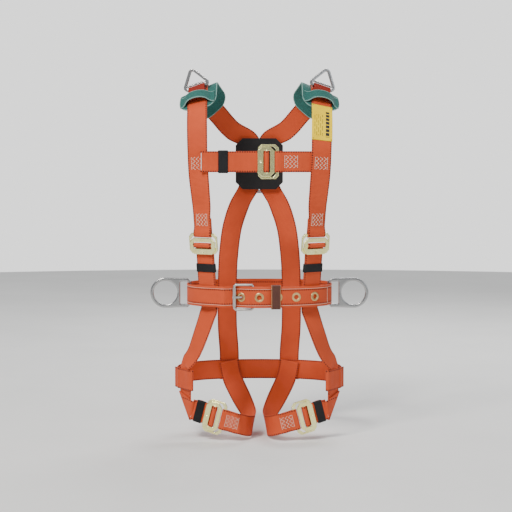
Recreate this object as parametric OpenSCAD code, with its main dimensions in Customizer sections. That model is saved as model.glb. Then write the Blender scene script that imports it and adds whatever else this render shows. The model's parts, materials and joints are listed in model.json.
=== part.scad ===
// Full-body safety harness, laid out in its worn shape.
// Origin: centre of the waist loop. Z is up, -Y is the wearer's front, -X the wearer's right.

/* [Webbing] */
// Width of the load-bearing webbing
strap_w = 45; // [40:1:50]
// Thickness of the webbing
strap_t = 2.2; // [1.8:0.1:2.6]
// Gap between one webbing layer and the next
layer_gap = 0.5; // [0.4:0.1:0.7]

/* [Belt] */
// Half width of the waist loop, to the middle of the webbing
belt_half_w = 159; // [140:1:185]
// Half depth of the waist loop, to the middle of the webbing
belt_half_d = 112; // [95:1:135]
// Outer size of the belt buckle across the belt
belt_buckle_h = 58; // [56:1:66]
// Outer size of the belt buckle along the belt
belt_buckle_w = 45; // [42:1:50]
// Diameter of the round bars of the belt buckle
belt_bar_d = 5; // [4:0.5:5.5]
// Diameter of the roller on the belt buckle
roller_d = 8; // [7:0.5:9]
// Distance between belt eyelets
eyelet_pitch = 39; // [35:1:42]
// Outer diameter of a belt eyelet
eyelet_d = 20; // [17:1:22]
// Hole diameter of a belt eyelet
eyelet_hole_d = 10; // [9.5:0.5:11]
// Length of the leather keeper along the belt
belt_keeper_w = 20; // [14:1:26]

/* [Adjuster buckles] */
// Length of the inner plate along the strap
plate_len = 35.5; // [34:0.5:37]
// Width of the inner plate across the strap
plate_w = 64; // [60:1:66]
// Length of the outer frame along the strap
frame_len = 44; // [42:1:48]
// Width of the outer frame across the strap
frame_w = 73; // [70:1:80]
// Thickness of both plates
plate_t = 3; // [2.5:0.25:3.5]
// Length of the window in the inner plate
window_len = 14.5; // [13.5:0.25:15.5]
// Diameter of the bar that the strap turns round
slide_bar_d = 5; // [4:0.5:5.5]
// Length of the elastic keepers along the strap
keeper_len = 18; // [12:1:24]

/* [Rings] */
// Diameter of the round eye of a side ring
eye_d = 53; // [45:1:58]
// Thickness of the rim of a forged ring
rim_t = 7; // [6:0.5:9]
// Length of the slot that the webbing passes through
slot_len = 50; // [48:1:56]
// Width of the slot between bar and eye
slot_w = 18; // [16:1:22]
// Thickness of the steel wire of a shoulder ring
shoulder_wire_d = 6; // [5:0.5:7]
// Height of a shoulder ring
shoulder_ring_h = 46; // [40:1:52]

/* [Shoulders] */
// Distance of a shoulder strap from the middle at the shoulder
shoulder_x = 134; // [120:1:145]
// Height of the shoulder straps above the belt
shoulder_z = 456; // [420:1:480]
// Height of the chest strap above the belt
chest_z = 290; // [250:1:310]
// Height of the torso buckles above the belt
torso_z = 114; // [100:1:130]
// Width of a shoulder pad
pad_w = 86; // [76:1:96]
// Thickness of a shoulder pad
pad_t = 3; // [2.5:0.25:4]

/* [Hidden] */
$fn = 48;
t = strap_t;
layer = strap_t + layer_gap;          // step from one webbing layer to the next
bar_gap = 0.4;                        // webbing to the bar it turns round
W = strap_w;

// ---- vectors, seats and ribbons ----
function unit(v) = v / norm(v);
function flip_x(v) = [-v[0], v[1], v[2]];
// A seat is [origin, across the strap, along the strap, outward].
function seat(o, along, out) =
    let (al = unit(along), ac = unit(cross(al, out))) [o, ac, al, cross(ac, al)];
function put(s, p) = s[0] + p[0] * s[1] + p[1] * s[2] + p[2] * s[3];
// Stations [place, width vector] for [along, out] points in a seat
function lay(s, pts) = [for (p = pts) [put(s, [0, p[0], p[1]]), s[1] * W]];
function turn(c, r, from, to, n) =
    [for (i = [0:n]) let (a = from + (to - from) * i / n) [c[0] + r * cos(a), c[1] + r * sin(a)]];
function mirrored(st) = [for (s = st) [flip_x(s[0]), flip_x(s[1])]];
function back_to_front(st) = [for (i = [len(st) - 1:-1:0]) st[i]];

function curve(a, b, c, d, u) =
    0.5 * (2 * b + (c - a) * u + (2 * a - 5 * b + 4 * c - d) * u * u
           + (3 * b - a - 3 * c + d) * u * u * u);
function smooth(st, n) = let (m = len(st) - 1) concat(
    [for (i = [0:m - 1], k = [0:n - 1])
        let (a = st[max(i - 1, 0)], b = st[i], c = st[i + 1], d = st[min(i + 2, m)])
        [for (j = [0, 1]) curve(a[j], b[j], c[j], d[j], k / n)]],
    [st[m]]);
function heading(st, i) = unit(st[min(i + 1, len(st) - 1)][0] - st[max(i - 1, 0)][0]);
// Turns each width vector square to the strap
function squared(st) = [for (i = [0:len(st) - 1])
    let (h = heading(st, i), w = st[i][1], s = w - h * (h * w)) [st[i][0], unit(s) * norm(w)]];

module ribbon(st, thick = strap_t) {
    n = len(st);
    points = [for (i = [0:n - 1])
        let (p = st[i][0], w = st[i][1] / 2, up = unit(cross(w, heading(st, i))) * thick / 2)
        each [p - w - up, p + w - up, p + w + up, p - w + up]];
    sides = [for (i = [0:n - 2], j = [0:3])
        let (a = 4 * i + j, b = 4 * i + (j + 1) % 4)
        each (j < 2 ? [[a, b, b + 4], [a, b + 4, a + 4]] : [[a, b, a + 4], [b, b + 4, a + 4]])];
    e = 4 * (n - 1);
    polyhedron(points, concat(sides, [[3, 2, 1], [3, 1, 0], [e, e + 1, e + 2], [e, e + 2, e + 3]]));
}
module on(s) multmatrix([for (i = [0:2]) [s[1][i], s[2][i], s[3][i], s[0][i]]]) children();
module both_sides() { children(); mirror([1, 0, 0]) children(); }
module link(a, b, r) {
    d = b - a;
    translate(a) rotate([0, acos(d[2] / norm(d)), atan2(d[1], d[0])]) cylinder(r = r, h = norm(d));
}
module wire(pts, r, closed = false) {
    n = len(pts);
    for (i = [0:n - (closed ? 1 : 2)]) link(pts[i], pts[(i + 1) % n], r);
    for (p = pts) translate(p) sphere(r = r + 0.03);
}

// ---- belt ----
belt_power = 2.4;
function sign_pow(v, p) = sign(v) * pow(abs(v), p);
function oval(a, b, phi) =
    [a * sign_pow(sin(phi), 2 / belt_power), -b * sign_pow(cos(phi), 2 / belt_power), 0];
function belt_at(phi) = oval(belt_half_w, belt_half_d, phi);

function belt_front(x, off = 0) =
    let (y = -belt_half_d * pow(1 - pow(abs(x) / belt_half_w, belt_power), 1 / belt_power),
         n = unit([sign_pow(x, belt_power - 1) / pow(belt_half_w, belt_power),
                   sign_pow(y, belt_power - 1) / pow(belt_half_d, belt_power), 0]))
    [x, y, 0] + off * n;
upright = [0, 0, -W];
function belt_stations(pts) = [for (p = pts) [belt_front(p[0], p[1]), upright]];
buckle_x = -34;                       // middle of the belt buckle
bar_x = (belt_buckle_w - belt_bar_d) / 2;
belt_seat = seat(belt_front(buckle_x), belt_front(buckle_x + 54) - belt_front(buckle_x - 16), [0, -1, 0]);
roller_fit = 0.06;
belt_loop_r = belt_bar_d / 2 + bar_gap;
dip = roller_d / 2 + layer_gap + t / 2 + 0.1;      // the belt behind the roller
over = belt_loop_r + t + layer_gap + t / 2 + 0.2;  // the belt over the fixed bar
side_phi = 42;                        // where the front part meets the round part
tail_end_x = 146;
belt_path = concat(
    lay(belt_seat, [[30, 0], [42, 0]]),
    belt_stations([for (x = [buckle_x + 58:12:94]) [x, 0]]),
    [for (phi = [side_phi:8:360 - side_phi]) [belt_at(phi), upright]],
    belt_stations([[-92, 0]]),
    lay(belt_seat, [[-44, 0], [-32, -3.2], [-bar_x, -dip], [-14, -4.4], [-5, -0.4], [5, 4.2],
        [13, over - 0.3], [bar_x + 2, over], [43, over], [51, layer + 2]]),
    belt_stations([for (x = [24, 35, 46, 57, 68, 78, 88, 98, 107, 117, 125, 132, 139, tail_end_x]) [x, layer]]));
// The first eyelet lies where the belt slopes over the prong, the second over the fixed bar
eyelet_slope = [10, 4.6];
function eyelet_seat(i) = let (x = buckle_x - 5 + i * eyelet_pitch)
    i == 0 ? seat(put(belt_seat, [0, -5, -0.4]), eyelet_slope[0] * belt_seat[2] + eyelet_slope[1] * belt_seat[3],
                  belt_seat[3])
    : i == 1 ? seat(put(belt_seat, [0, eyelet_pitch - 5, over]), belt_seat[2], belt_seat[3])
    : seat(belt_front(x, layer), belt_front(x + 4) - belt_front(x - 4), belt_front(x, 1) - belt_front(x));
eyelets = 5;
eyelet_rim = 0.9;

// ---- side rings ----
ring_bar_r = rim_t / 2;
web = 6;
eye_x = ring_bar_r + slot_w + web + eye_d / 2;
side_bar = [-(belt_half_w - t / 2 - bar_gap - ring_bar_r), 0, 0];

// ---- torso and hip straps, wearer's right side ----
tail_level = -(layer_gap + t / 2);
main_level = tail_level - layer;
belt_chord = [belt_front(-134, -t / 2), belt_front(-96, -t / 2)];
foot = (belt_chord[0] + belt_chord[1]) / 2 + [0, 0, W / 2 + 1];
foot_out = let (d = belt_chord[1] - belt_chord[0]) unit([d[1], -d[0], 0]);
torso_seat = seat([-119.5, -91, torso_z - 3], [-119.5, -91, torso_z - 3] - foot, foot_out);
chest_seat = seat([15.25, -111, chest_z], [1, 0, 0], [0, -1, 0]);
leg_turn = 16;
leg_seat = seat([-100, -84, -262], [cos(leg_turn), -sin(leg_turn), -0.26],
                [-sin(leg_turn), -cos(leg_turn), 0]);
// The strap that is adjusted: its tail comes in, turns over the slide bar and goes back behind
slide_level = 1.5 * plate_t + 0.3;
turn_r = slide_bar_d / 2 + bar_gap + t / 2;
function slider(tail, keep) = concat(
    [[-tail, tail_level], [-keep, tail_level], [-20, tail_level], [-12, tail_level],
     [-7.5, tail_level + 0.9], [-4.9, 1.4]],
    turn([0, slide_level], turn_r, 180, 0, 8),
    [[4, 0.9], [1.2, main_level + 1.4], [-4.5, main_level], [-12, main_level], [-keep, main_level]]);
// The strap that is sewn: its end lies behind, and turns round the far bar of the frame
frame_lo = -(window_len / 2 + 12) + 1;
sewn_bar = 6;
sewn_x = frame_lo + frame_len - sewn_bar + plate_t / 2;
sewn_r = plate_t / 2 + bar_gap + t / 2 + 0.35;
sewn_back = plate_t / 2 - sewn_r;
sewn_front = sewn_back + layer;
function sewn(length) = concat(
    [[length, sewn_back], [sewn_x + 2, sewn_back]],
    turn([sewn_x, plate_t / 2], sewn_r, -90, -270, 8),
    [[sewn_x + 5, plate_t / 2 + sewn_r], [sewn_x + 16, sewn_front + 0.4], [length, sewn_front]]);
// Width vector of a strap on the wearer's right, turned to the side and rolled with the shoulder
function wide(yaw, roll = 0) = W * [cos(yaw) * cos(roll), -sin(yaw) * cos(roll), sin(roll)];

// ---- shoulder straps ----
cross_turn = 24;                      // angle of each strap where they cross on the back
cross_z = 285;
cross_y = 123;
cross_seat = seat([0, cross_y, cross_z], [sin(cross_turn), 0, -cos(cross_turn)], [0, 1, 0]);
cross_half = 58;
chest_turn = 16;                      // the shoulder straps' turn where the chest strap joins them
front_rise = [[[-124.2, -98.4, 194], wide(28)], [[-126, -100, 215], wide(24)],
    [[-130, -100.5, chest_z - 32], wide(chest_turn)], [[-132, -100.5, chest_z], wide(chest_turn)],
    [[-133, -100, chest_z + 30], wide(chest_turn)]];
shoulder_top = [[[-134, -86, 357], wide(12, 5)], [[-135, -62, 395], wide(10, 11)],
    [[-135, -32, 425], wide(6, 18)], [[-shoulder_x, -4, shoulder_z - 10], wide(2, 22)],
    [[-133, 24, shoulder_z - 5], wide(0, 23)], [[-127, 52, shoulder_z - 15], wide(-4, 24)],
    [[-113, 78, shoulder_z - 36], wide(-8, 28)], [[-91, 98, shoulder_z - 62], wide(-8, 30)],
    [[-62, 112, 362], wide(-6, 30)]];
function crossing(lift) = lay(cross_seat, [for (a = [-cross_half, 0, cross_half]) [a, lift]]);
back_fall = [[[45, 122, 192], wide(4, -14)], [[62, 117, 140], wide(7, -10)],
    [[70, 108, 80], wide(11, -4)], [[72.5, 100.5, 32], wide(15)], [[73, 99.3, 0], wide(15)],
    [[73.5, 100.8, -32], wide(15)], [[73, 112, -90], wide(13)], [[70, 120.5, -135], wide(11)],
    [[69, 122.3, -160], wide(10.5)], [[69, 122.3, -211], wide(10.5)]];
torso_reach = 58;
function upper_route(lift) = squared(smooth(concat(lay(torso_seat, [[torso_reach + 6, sewn_front]]),
    front_rise, shoulder_top, crossing(lift), back_fall), 3));
function shoulder_route(lift) = concat(lay(torso_seat, sewn(torso_reach)), upper_route(lift));
pad_low = shoulder_z - 56;             // lowest point of a shoulder pad
over_top = [for (s = upper_route(0)) if (s[0][2] > pad_low && s[0][0] < 0) s];
function raised(st, d) = [for (i = [0:len(st) - 1])
    [st[i][0] + d * unit(cross(st[i][1], heading(st, i))), st[i][1]]];
ring_at = 5;                          // station under the shoulder ring
bridge_at = 2;                        // station under the bridge of the pad
loop_w = 38;
ring_lift = t / 2 + layer + bar_gap + shoulder_wire_d / 2;
ring_turn = shoulder_wire_d / 2 + bar_gap + t / 2;
function top_seat(i, lift) = let (p = over_top[i], h = heading(over_top, i), up = unit(cross(p[1], h)))
    seat(p[0] + lift * up, h, up);
ring_seat = top_seat(ring_at, ring_lift);
function loop_part(d) = let (r = raised(over_top, d)) [for (i = [0:ring_at - 1]) r[i]];
function narrowed(st, w) = [for (s = st) [s[0], unit(s[1]) * w]];
loop_route = narrowed(concat(
    loop_part(layer), lay(ring_seat, turn([0, 0], ring_turn, -90, 90, 8)),
    lay(ring_seat, [[-7, ring_turn - 1], [-13, ring_turn - 2.6]]),
    back_to_front([for (i = [0:ring_at - 3]) raised(over_top, 2 * layer)[i]])), loop_w);

// ---- chest strap ----
chest_keep = 105;
chest_tail = 141;
chest_route = concat(
    lay(chest_seat, slider(chest_tail, chest_keep)),
    [for (p = [[-96, -106.5], [-103, -105.8], [-110, -103.9], [-130, -98.1], [-149, -92.6]])
        [[p[0], p[1], chest_z], upright]]);
chest_sewn = 58;
chest_short_route = concat(
    lay(chest_seat, sewn(chest_sewn)),
    [for (p = [[84, -110.6], [95, -108], [103, -105.8], [110, -103.9], [130, -98.1], [149, -92.6]])
        [[p[0], p[1], chest_z], upright]]);

// ---- hip and leg straps ----
hip_out = 57;
hip = [-162, -45, -187];
hip_wide = W * [cos(hip_out), -sin(hip_out), 0];
hip_normal = [-sin(hip_out), -cos(hip_out), 0];
pelvic_z = hip[2];
fold = [-162, -45, -244];
fold_tilt = 15;
fold_along = [cos(hip_out), -sin(hip_out), 0];
fold_dir = cos(fold_tilt) * fold_along + [0, 0, -sin(fold_tilt)];
crease = unit(fold_dir + [0, 0, -1]);
crease_w = W / sin(45 - fold_tilt / 2);
crease_push = unit([0, 0, -1] - crease * (crease * [0, 0, -1]));
fold_r = layer / 2 + 0.3;
fold_reach = crease_w / 2 * cos(45 - fold_tilt / 2) + 1;
fold_up = 2 * fold_r * hip_normal;
torso_tail = 118;
torso_keep = 66;
leg_tail = 52;
hip_route = concat(
    lay(torso_seat, slider(torso_tail, torso_keep)),
    lay(torso_seat, [for (a = [-90, -112, -134]) [a, main_level]]),
    squared(smooth([[put(torso_seat, [0, -142, main_level]), wide(34)], [[-124, -74, -75], wide(42)],
        [[-143, -60, -125], wide(51)], [hip + [1, 0, 36], hip_wide]], 3)),
    [[hip + [0, 0, W / 2 + 2], hip_wide], [hip, hip_wide], [fold + [0, 0, fold_reach], hip_wide],
     [fold, crease_w * crease], [fold + fold_r * (crease_push + hip_normal), crease_w * crease],
     [fold + fold_up, crease_w * crease],
     [fold + fold_up + fold_reach * fold_dir, W * unit(cross(fold_dir, hip_normal))]],
    lay(leg_seat, back_to_front(slider(leg_tail, 46))));
leg_sewn = 52;
leg_route = concat(
    lay(leg_seat, sewn(leg_sewn)),
    squared(smooth([for (p = [
        [[-41, -93, -278], [0.1, 0, -1]], [[-27, -78, -284], [0, 0, -1]], [[-17, -50, -289], [-0.1, 0, -1]],
        [[-14, -15, -291], [-0.2, 0, -1]], [[-16, 22, -286], [-0.35, 0, -1]],
        [[-25, 56, -272], [-0.5, 0.1, -0.9]], [[-40, 86, -249], [-0.7, 0, -0.7]],
        [[-56, 107, -220], [-0.9, -0.1, -0.45]], [[-64, 113.5, -200], [-0.95, -0.18, -0.3]],
        [[-70, 112.5, -168], [-0.97, -0.18, -0.2]]]) [p[0], W * unit(p[1])]], 3)));
pelvic_half_w = 182;
pelvic_half_d = 124;
loop_off = layer + 0.3;
loop_front = W / 2 + 2.6;
function hip_at(e, n) = hip + e * fold_along + n * hip_normal;
pelvic_side = concat(
    [for (e = [-50, -30, 0, loop_front]) [hip_at(e, -loop_off), upright]],
    [for (a = [-60:30:60]) [hip_at(loop_front + loop_off * cos(a), loop_off * sin(a)), upright]],
    [for (e = [loop_front, 0, -25]) [hip_at(e, loop_off), upright]]);
pelvic_back = [for (phi = [-86:-8:-180]) [oval(pelvic_half_w, pelvic_half_d, phi) + [0, 0, pelvic_z], upright]];
pelvic_route = let (half = concat(pelvic_side, squared(smooth(
    concat([[hip_at(-25, loop_off), upright]], pelvic_back), 1))))
    concat(half, [for (i = [len(half) - 1:-1:0]) let (p = flip_x(half[i][0])) if (p[0] > 1) [p, upright]]);

// ---- shapes that several pieces share ----
module slab(x, y, z) translate([-x / 2, -y / 2, 0]) cube([x, y, z]);
module chamfered(x, y, c) polygon([[-x / 2 + c, -y / 2], [x / 2 - c, -y / 2], [x / 2, -y / 2 + c],
    [x / 2, y / 2 - c], [x / 2 - c, y / 2], [-x / 2 + c, y / 2], [-x / 2, y / 2 - c], [-x / 2, -y / 2 + c]]);
module buckle_frame(s) color("#c9c48a") on(s) linear_extrude(plate_t) difference() {
    translate([0, frame_lo + frame_len / 2]) chamfered(frame_w, frame_len, 7);
    opening_w = plate_w + 1.5;
    far = sewn_x - plate_t / 2;
    translate([0, (far + frame_lo + 7) / 2]) chamfered(opening_w, far - frame_lo - 7, 6.5);
}
module buckle_plate(s) color("#d6d19a") on(s) translate([0, 0, plate_t + 0.3]) {
    window_w = W + 1.5;
    difference() {
        linear_extrude(plate_t) difference() {
            translate([0, -window_len / 2 - 12 + plate_len / 2]) chamfered(plate_w, plate_len, 9);
            square([window_w, window_len], center = true);
        }
        translate([0, -window_len / 2 - 6, plate_t + 1.6]) sphere(r = 3);
    }
    translate([-window_w / 2 - 1, 0, plate_t / 2]) rotate([0, 90, 0]) cylinder(d = slide_bar_d, h = window_w + 2);
}
// Elastic band round a strap and its tail
module keeper(s, along, length, wall = 1.6) color("#1b1b1d") on(s) {
    low = main_level - t / 2 - bar_gap;
    high = tail_level + t / 2 + bar_gap;
    translate([0, along, low - wall]) difference() {
        slab(W + 1.2 + 2 * wall, length, high - low + 2 * wall);
        translate([0, 0, wall]) slab(W + 1.2, length + 2, high - low);
    }
}
// Forged ring: the bar lies on the Z axis, the eye reaches toward -X
module forged_ring(slot) {
    rim_r = eye_d / 2 + rim_t;
    half = slot / 2 + rim_t;
    plate = rim_t - 1;
    translate([0, plate / 2, 0]) rotate([90, 0, 0]) linear_extrude(plate) difference() {
        union() {
            translate([-eye_x, 0]) circle(r = rim_r);
            polygon([[-eye_x, rim_r], [-15, half], [-5, half], [ring_bar_r, half - 8.5],
                     [ring_bar_r, 8.5 - half], [-5, -half], [-15, -half], [-eye_x, -rim_r]]);
        }
        translate([-eye_x, 0]) circle(r = eye_d / 2, $fn = 96);
        translate([-ring_bar_r - slot_w, -slot / 2]) square([slot_w + 3 * ring_bar_r, slot]);
    }
    translate([0, 0, -slot / 2 - 2]) cylinder(r = ring_bar_r, h = slot + 4);
}
module strap(route) color("#c8502c") ribbon(route);

// ---- the pieces ----
module belt_strap() color("#d0602f") difference() {
    ribbon(belt_path);
    for (i = [0:eyelets - 1]) on(eyelet_seat(i))
        translate([0, 0, -6]) cylinder(d = eyelet_hole_d + 2 * eyelet_rim + 0.1, h = i == 0 ? 12 : 8);
}
module belt_eyelets() color("#b08d3c") for (i = [0:eyelets - 1]) on(eyelet_seat(i)) difference() {
    union() {
        translate([0, 0, -t / 2]) cylinder(d = eyelet_hole_d + 2 * eyelet_rim, h = t);
        translate([0, 0, t / 2 - 0.1]) cylinder(d = eyelet_hole_d + 2 * eyelet_rim, h = 1);
        translate([0, 0, t / 2 + 0.5]) cylinder(d = eyelet_d, h = 0.4);
    }
    translate([0, 0, -5]) cylinder(d = eyelet_hole_d, h = 10);
}
module belt_buckle_loop() color("#d0602f") on(belt_seat) translate([0, bar_x, 0]) {
    reach = 22;
    difference() {
        translate([-W / 2, 0, 0]) rotate([90, 0, 90]) linear_extrude(W) difference() {
            union() {
                circle(r = belt_loop_r + t);
                translate([0, -belt_loop_r - t]) square([reach, 2 * (belt_loop_r + t)]);
            }
            circle(r = belt_loop_r);
            translate([0, -belt_loop_r]) square([reach + 1, 2 * belt_loop_r]);
        }
        translate([0, -belt_loop_r, 0]) cube([9, 2 * belt_loop_r + 8, 30], center = true);
    }
}
module belt_buckle_frame() color("#b9bcbe") on(belt_seat) {
    side_h = (belt_buckle_h - belt_bar_d) / 2;
    bar_half = W / 2 + 0.7;
    corner = side_h - bar_half;
    for (x = [-bar_x, bar_x]) translate([-side_h + corner, x, 0]) rotate([0, 90, 0])
        cylinder(d = belt_bar_d, h = 2 * bar_half);
    for (m = [0, 1]) mirror([m, 0, 0]) wire([[side_h - corner, -bar_x, 0], [side_h, -bar_x + corner, 0],
        [side_h, bar_x - corner, 0], [side_h - corner, bar_x, 0]], belt_bar_d / 2);
}
module belt_buckle_roller() color("#c4c7c9") on(belt_seat) translate([0, -bar_x, 0]) rotate([0, 90, 0])
    difference() {
        cylinder(d = roller_d, h = W - 5, center = true);
        cylinder(d = belt_bar_d + 2 * roller_fit, h = W, center = true);
    }
prong_d = 3.6;
prong_line = [[bar_x - 3.5, -1.2], [2, -2], [-3, -0.8], [-8, 1.6], [-13, 4.2],
    [-bar_x + 2, (roller_d + prong_d) / 2 + 0.15], [-bar_x - 4, (roller_d + prong_d) / 2 + 0.15]];
module belt_buckle_prong() color("#c4c7c9") on(belt_seat) {
    eye_w = 6.5;
    translate([-eye_w / 2, bar_x, 0]) rotate([0, 90, 0]) difference() {
        cylinder(r = belt_bar_d / 2 + roller_fit + 1.9, h = eye_w);
        translate([0, 0, -1]) cylinder(r = belt_bar_d / 2 + roller_fit, h = eye_w + 2);
    }
    translate([-prong_d / 2, 0, 0]) rotate([90, 0, 90]) linear_extrude(prong_d) polygon(concat(
        [for (p = prong_line) p - [0, prong_d / 2]],
        [for (i = [len(prong_line) - 1:-1:0]) prong_line[i] + [0, prong_d / 2]]));
}
leather_seat = let (x = 35) seat(belt_front(x), belt_front(x + 8) - belt_front(x - 8),
                                 belt_front(x, 1) - belt_front(x));
module belt_keeper() color("#4a2f22") on(leather_seat) {
    wall = 2.2;
    low = -t / 2 - 0.8;
    high = layer + t / 2 + 1.4;
    difference() {
        translate([0, 0, low - wall]) slab(W + 2.4 + 2 * wall, belt_keeper_w, high - low + 2 * wall);
        translate([0, 0, low]) slab(W + 2.4, belt_keeper_w + 2, high - low);
    }
}
module right_side_ring() color("#c9ccce") translate(side_bar) forged_ring(slot_len);
module left_side_ring() mirror([1, 0, 0]) right_side_ring();
module right_shoulder_strap() strap(shoulder_route(0));
module left_shoulder_strap() strap(mirrored(shoulder_route(layer)));
module right_hip_strap() strap(hip_route);
module left_hip_strap() strap(mirrored(hip_route));
module right_leg_strap() strap(leg_route);
module left_leg_strap() strap(mirrored(leg_route));
module sub_pelvic_strap() strap(pelvic_route);
module chest_strap() strap(chest_route);
module chest_strap_short() strap(chest_short_route);
module right_ring_loop() color("#a23a26") ribbon(loop_route);
module left_ring_loop() color("#a23a26") ribbon(mirrored(loop_route));
module right_torso_frame() buckle_frame(torso_seat);
module left_torso_frame() mirror([1, 0, 0]) right_torso_frame();
module right_torso_plate() buckle_plate(torso_seat);
module left_torso_plate() mirror([1, 0, 0]) right_torso_plate();
module right_leg_frame() buckle_frame(leg_seat);
module left_leg_frame() mirror([1, 0, 0]) right_leg_frame();
module right_leg_plate() buckle_plate(leg_seat);
module left_leg_plate() mirror([1, 0, 0]) right_leg_plate();
module chest_frame() buckle_frame(chest_seat);
module chest_plate() buckle_plate(chest_seat);
module chest_keeper() keeper(chest_seat, -93, 21);
module right_torso_keeper() keeper(torso_seat, -50, keeper_len);
module left_torso_keeper() mirror([1, 0, 0]) right_torso_keeper();
module right_leg_keeper() keeper(leg_seat, -34, keeper_len);
module left_leg_keeper() mirror([1, 0, 0]) right_leg_keeper();
module right_shoulder_pad() color("#1f8f7a") {
    ribbon([for (s = raised(over_top, -(t / 2 + 0.9 + pad_t / 2))) [s[0], unit(s[1]) * pad_w]], pad_t);
    bridge_t = 2;
    rest = bridge_t / 2 - t / 2 - layer_gap + 0.4;
    high = 2 * layer + t / 2 + 2 + bridge_t / 2;
    s = top_seat(bridge_at, 0);
    ribbon([for (p = [[-39, rest], [-33, rest + 0.2], [-28, 3], [-22, high], [22, high], [28, 3],
        [33, rest + 0.2], [39, rest]]) [put(s, [p[0], 0, p[1]]), s[2] * 22]], bridge_t);
}
module left_shoulder_pad() mirror([1, 0, 0]) right_shoulder_pad();
ring_lean = 30;
wire_r = shoulder_wire_d / 2;
ring_foot_r = 9;                      // rounding of the lower corners
ring_top_r = 10;                      // rounding of the top corner
ring_half = 20;
ring_top = shoulder_ring_h - wire_r - ring_top_r;
ring_slope = atan2(ring_half, ring_top - ring_foot_r + wire_r) - 1.5;
function ring_outline(inset) = concat(
    turn([ring_half, ring_foot_r - wire_r], ring_foot_r - inset, -90, ring_slope, 12),
    turn([0, ring_top], ring_top_r - inset, ring_slope, 180 - ring_slope, 12),
    turn([-ring_half, ring_foot_r - wire_r], ring_foot_r - inset, 180 - ring_slope, 270, 12));
module right_shoulder_ring() color("#c9ccce") on(ring_seat) rotate([90 - ring_lean, 0, 0]) {
    trim = 0.2;                       // the bar stands this far proud of the bent part
    embed = 3;
    translate([0, 0, trim - wire_r]) linear_extrude(2 * (wire_r - trim)) difference() {
        polygon(ring_outline(trim));
        polygon(ring_outline(2 * wire_r));
        translate([-ring_half, -2 * wire_r]) square([2 * ring_half, 3 * wire_r + 0.5]);
    }
    translate([-ring_half - embed, 0, 0]) rotate([0, 90, 0]) cylinder(r = wire_r, h = 2 * (ring_half + embed));
}
module left_shoulder_ring() mirror([1, 0, 0]) right_shoulder_ring();
label_t = 0.8;
module label() color("#e0c040") ribbon([for (s = raised(upper_route(0), t / 2 + 0.35 + label_t / 2))
    if (s[0][2] > 333 && s[0][2] < pad_low && s[0][1] < 0) mirrored([s])[0]], label_t);

// ---- dorsal plate and ring ----
dorsal_slot = 64;
dorsal_hang = 40;
dorsal_bar = [0, cross_y - t / 2 - bar_gap - ring_bar_r, cross_z];
plate_h = 116;
dorsal_t = 3;
bridge_at_z = 35;
bridge_h = 9;
bridge_half = 53;
module dorsal_ring() color("#c9ccce") translate(dorsal_bar) rotate([dorsal_hang, 0, 0])
    rotate([0, -90, 0]) forged_ring(dorsal_slot);
module dorsal_plate() color("#1d1d20") {
    back = cross_y - t / 2 - bar_gap - rim_t - 0.4 - dorsal_t;
    translate([0, back, cross_z]) rotate([-90, 0, 0]) linear_extrude(dorsal_t) chamfered(108, plate_h, 16);
    low = back + dorsal_t;
    high = cross_y + layer + t / 2 + 3 * layer_gap;
    for (z = [-bridge_at_z, bridge_at_z]) translate([0, low, cross_z + z - bridge_h / 2]) {
        for (x = [-bridge_half, bridge_half - 3]) translate([x, 0, 0]) cube([3, high - low, bridge_h]);
        translate([-bridge_half, high - low, 0]) cube([2 * bridge_half, 2.4, bridge_h]);
    }
}

right_shoulder_strap();
left_shoulder_strap();
right_hip_strap();
left_hip_strap();
right_leg_strap();
left_leg_strap();
sub_pelvic_strap();
chest_strap();
chest_strap_short();
belt_strap();
belt_buckle_loop();
belt_eyelets();
belt_keeper();
belt_buckle_frame();
belt_buckle_roller();
belt_buckle_prong();
right_side_ring();
left_side_ring();
right_shoulder_pad();
left_shoulder_pad();
right_ring_loop();
left_ring_loop();
right_shoulder_ring();
left_shoulder_ring();
label();
chest_frame();
chest_plate();
chest_keeper();
right_torso_frame();
right_torso_plate();
right_torso_keeper();
left_torso_frame();
left_torso_plate();
left_torso_keeper();
right_leg_frame();
right_leg_plate();
right_leg_keeper();
left_leg_frame();
left_leg_plate();
left_leg_keeper();
dorsal_plate();
dorsal_ring();
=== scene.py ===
import bpy, bmesh, json, math
import numpy as np
from mathutils import Matrix, Vector


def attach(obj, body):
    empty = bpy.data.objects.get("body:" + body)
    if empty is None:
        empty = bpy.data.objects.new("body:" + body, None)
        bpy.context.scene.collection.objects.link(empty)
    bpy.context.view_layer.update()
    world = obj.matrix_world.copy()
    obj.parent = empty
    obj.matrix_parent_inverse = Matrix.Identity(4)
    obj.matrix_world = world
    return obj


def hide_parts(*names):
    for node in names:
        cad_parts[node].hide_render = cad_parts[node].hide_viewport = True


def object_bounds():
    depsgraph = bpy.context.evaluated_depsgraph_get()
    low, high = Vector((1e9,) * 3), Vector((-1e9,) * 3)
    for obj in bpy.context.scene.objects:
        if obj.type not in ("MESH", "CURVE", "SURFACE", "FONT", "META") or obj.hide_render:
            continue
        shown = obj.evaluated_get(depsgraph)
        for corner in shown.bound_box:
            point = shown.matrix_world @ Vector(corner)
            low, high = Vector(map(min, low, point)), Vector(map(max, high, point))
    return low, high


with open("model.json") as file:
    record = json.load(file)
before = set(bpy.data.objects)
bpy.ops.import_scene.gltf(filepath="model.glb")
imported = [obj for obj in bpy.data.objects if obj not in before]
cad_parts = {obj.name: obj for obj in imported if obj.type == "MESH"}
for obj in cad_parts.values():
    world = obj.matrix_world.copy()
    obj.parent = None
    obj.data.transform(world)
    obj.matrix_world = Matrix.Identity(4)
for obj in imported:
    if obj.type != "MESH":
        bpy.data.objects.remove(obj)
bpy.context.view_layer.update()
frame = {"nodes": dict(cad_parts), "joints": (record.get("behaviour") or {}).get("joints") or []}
nodes = frame["nodes"]
joints = {j["name"]: j for j in frame["joints"]}
mm = 0.001
weldReach = 0.01 * mm
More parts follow.
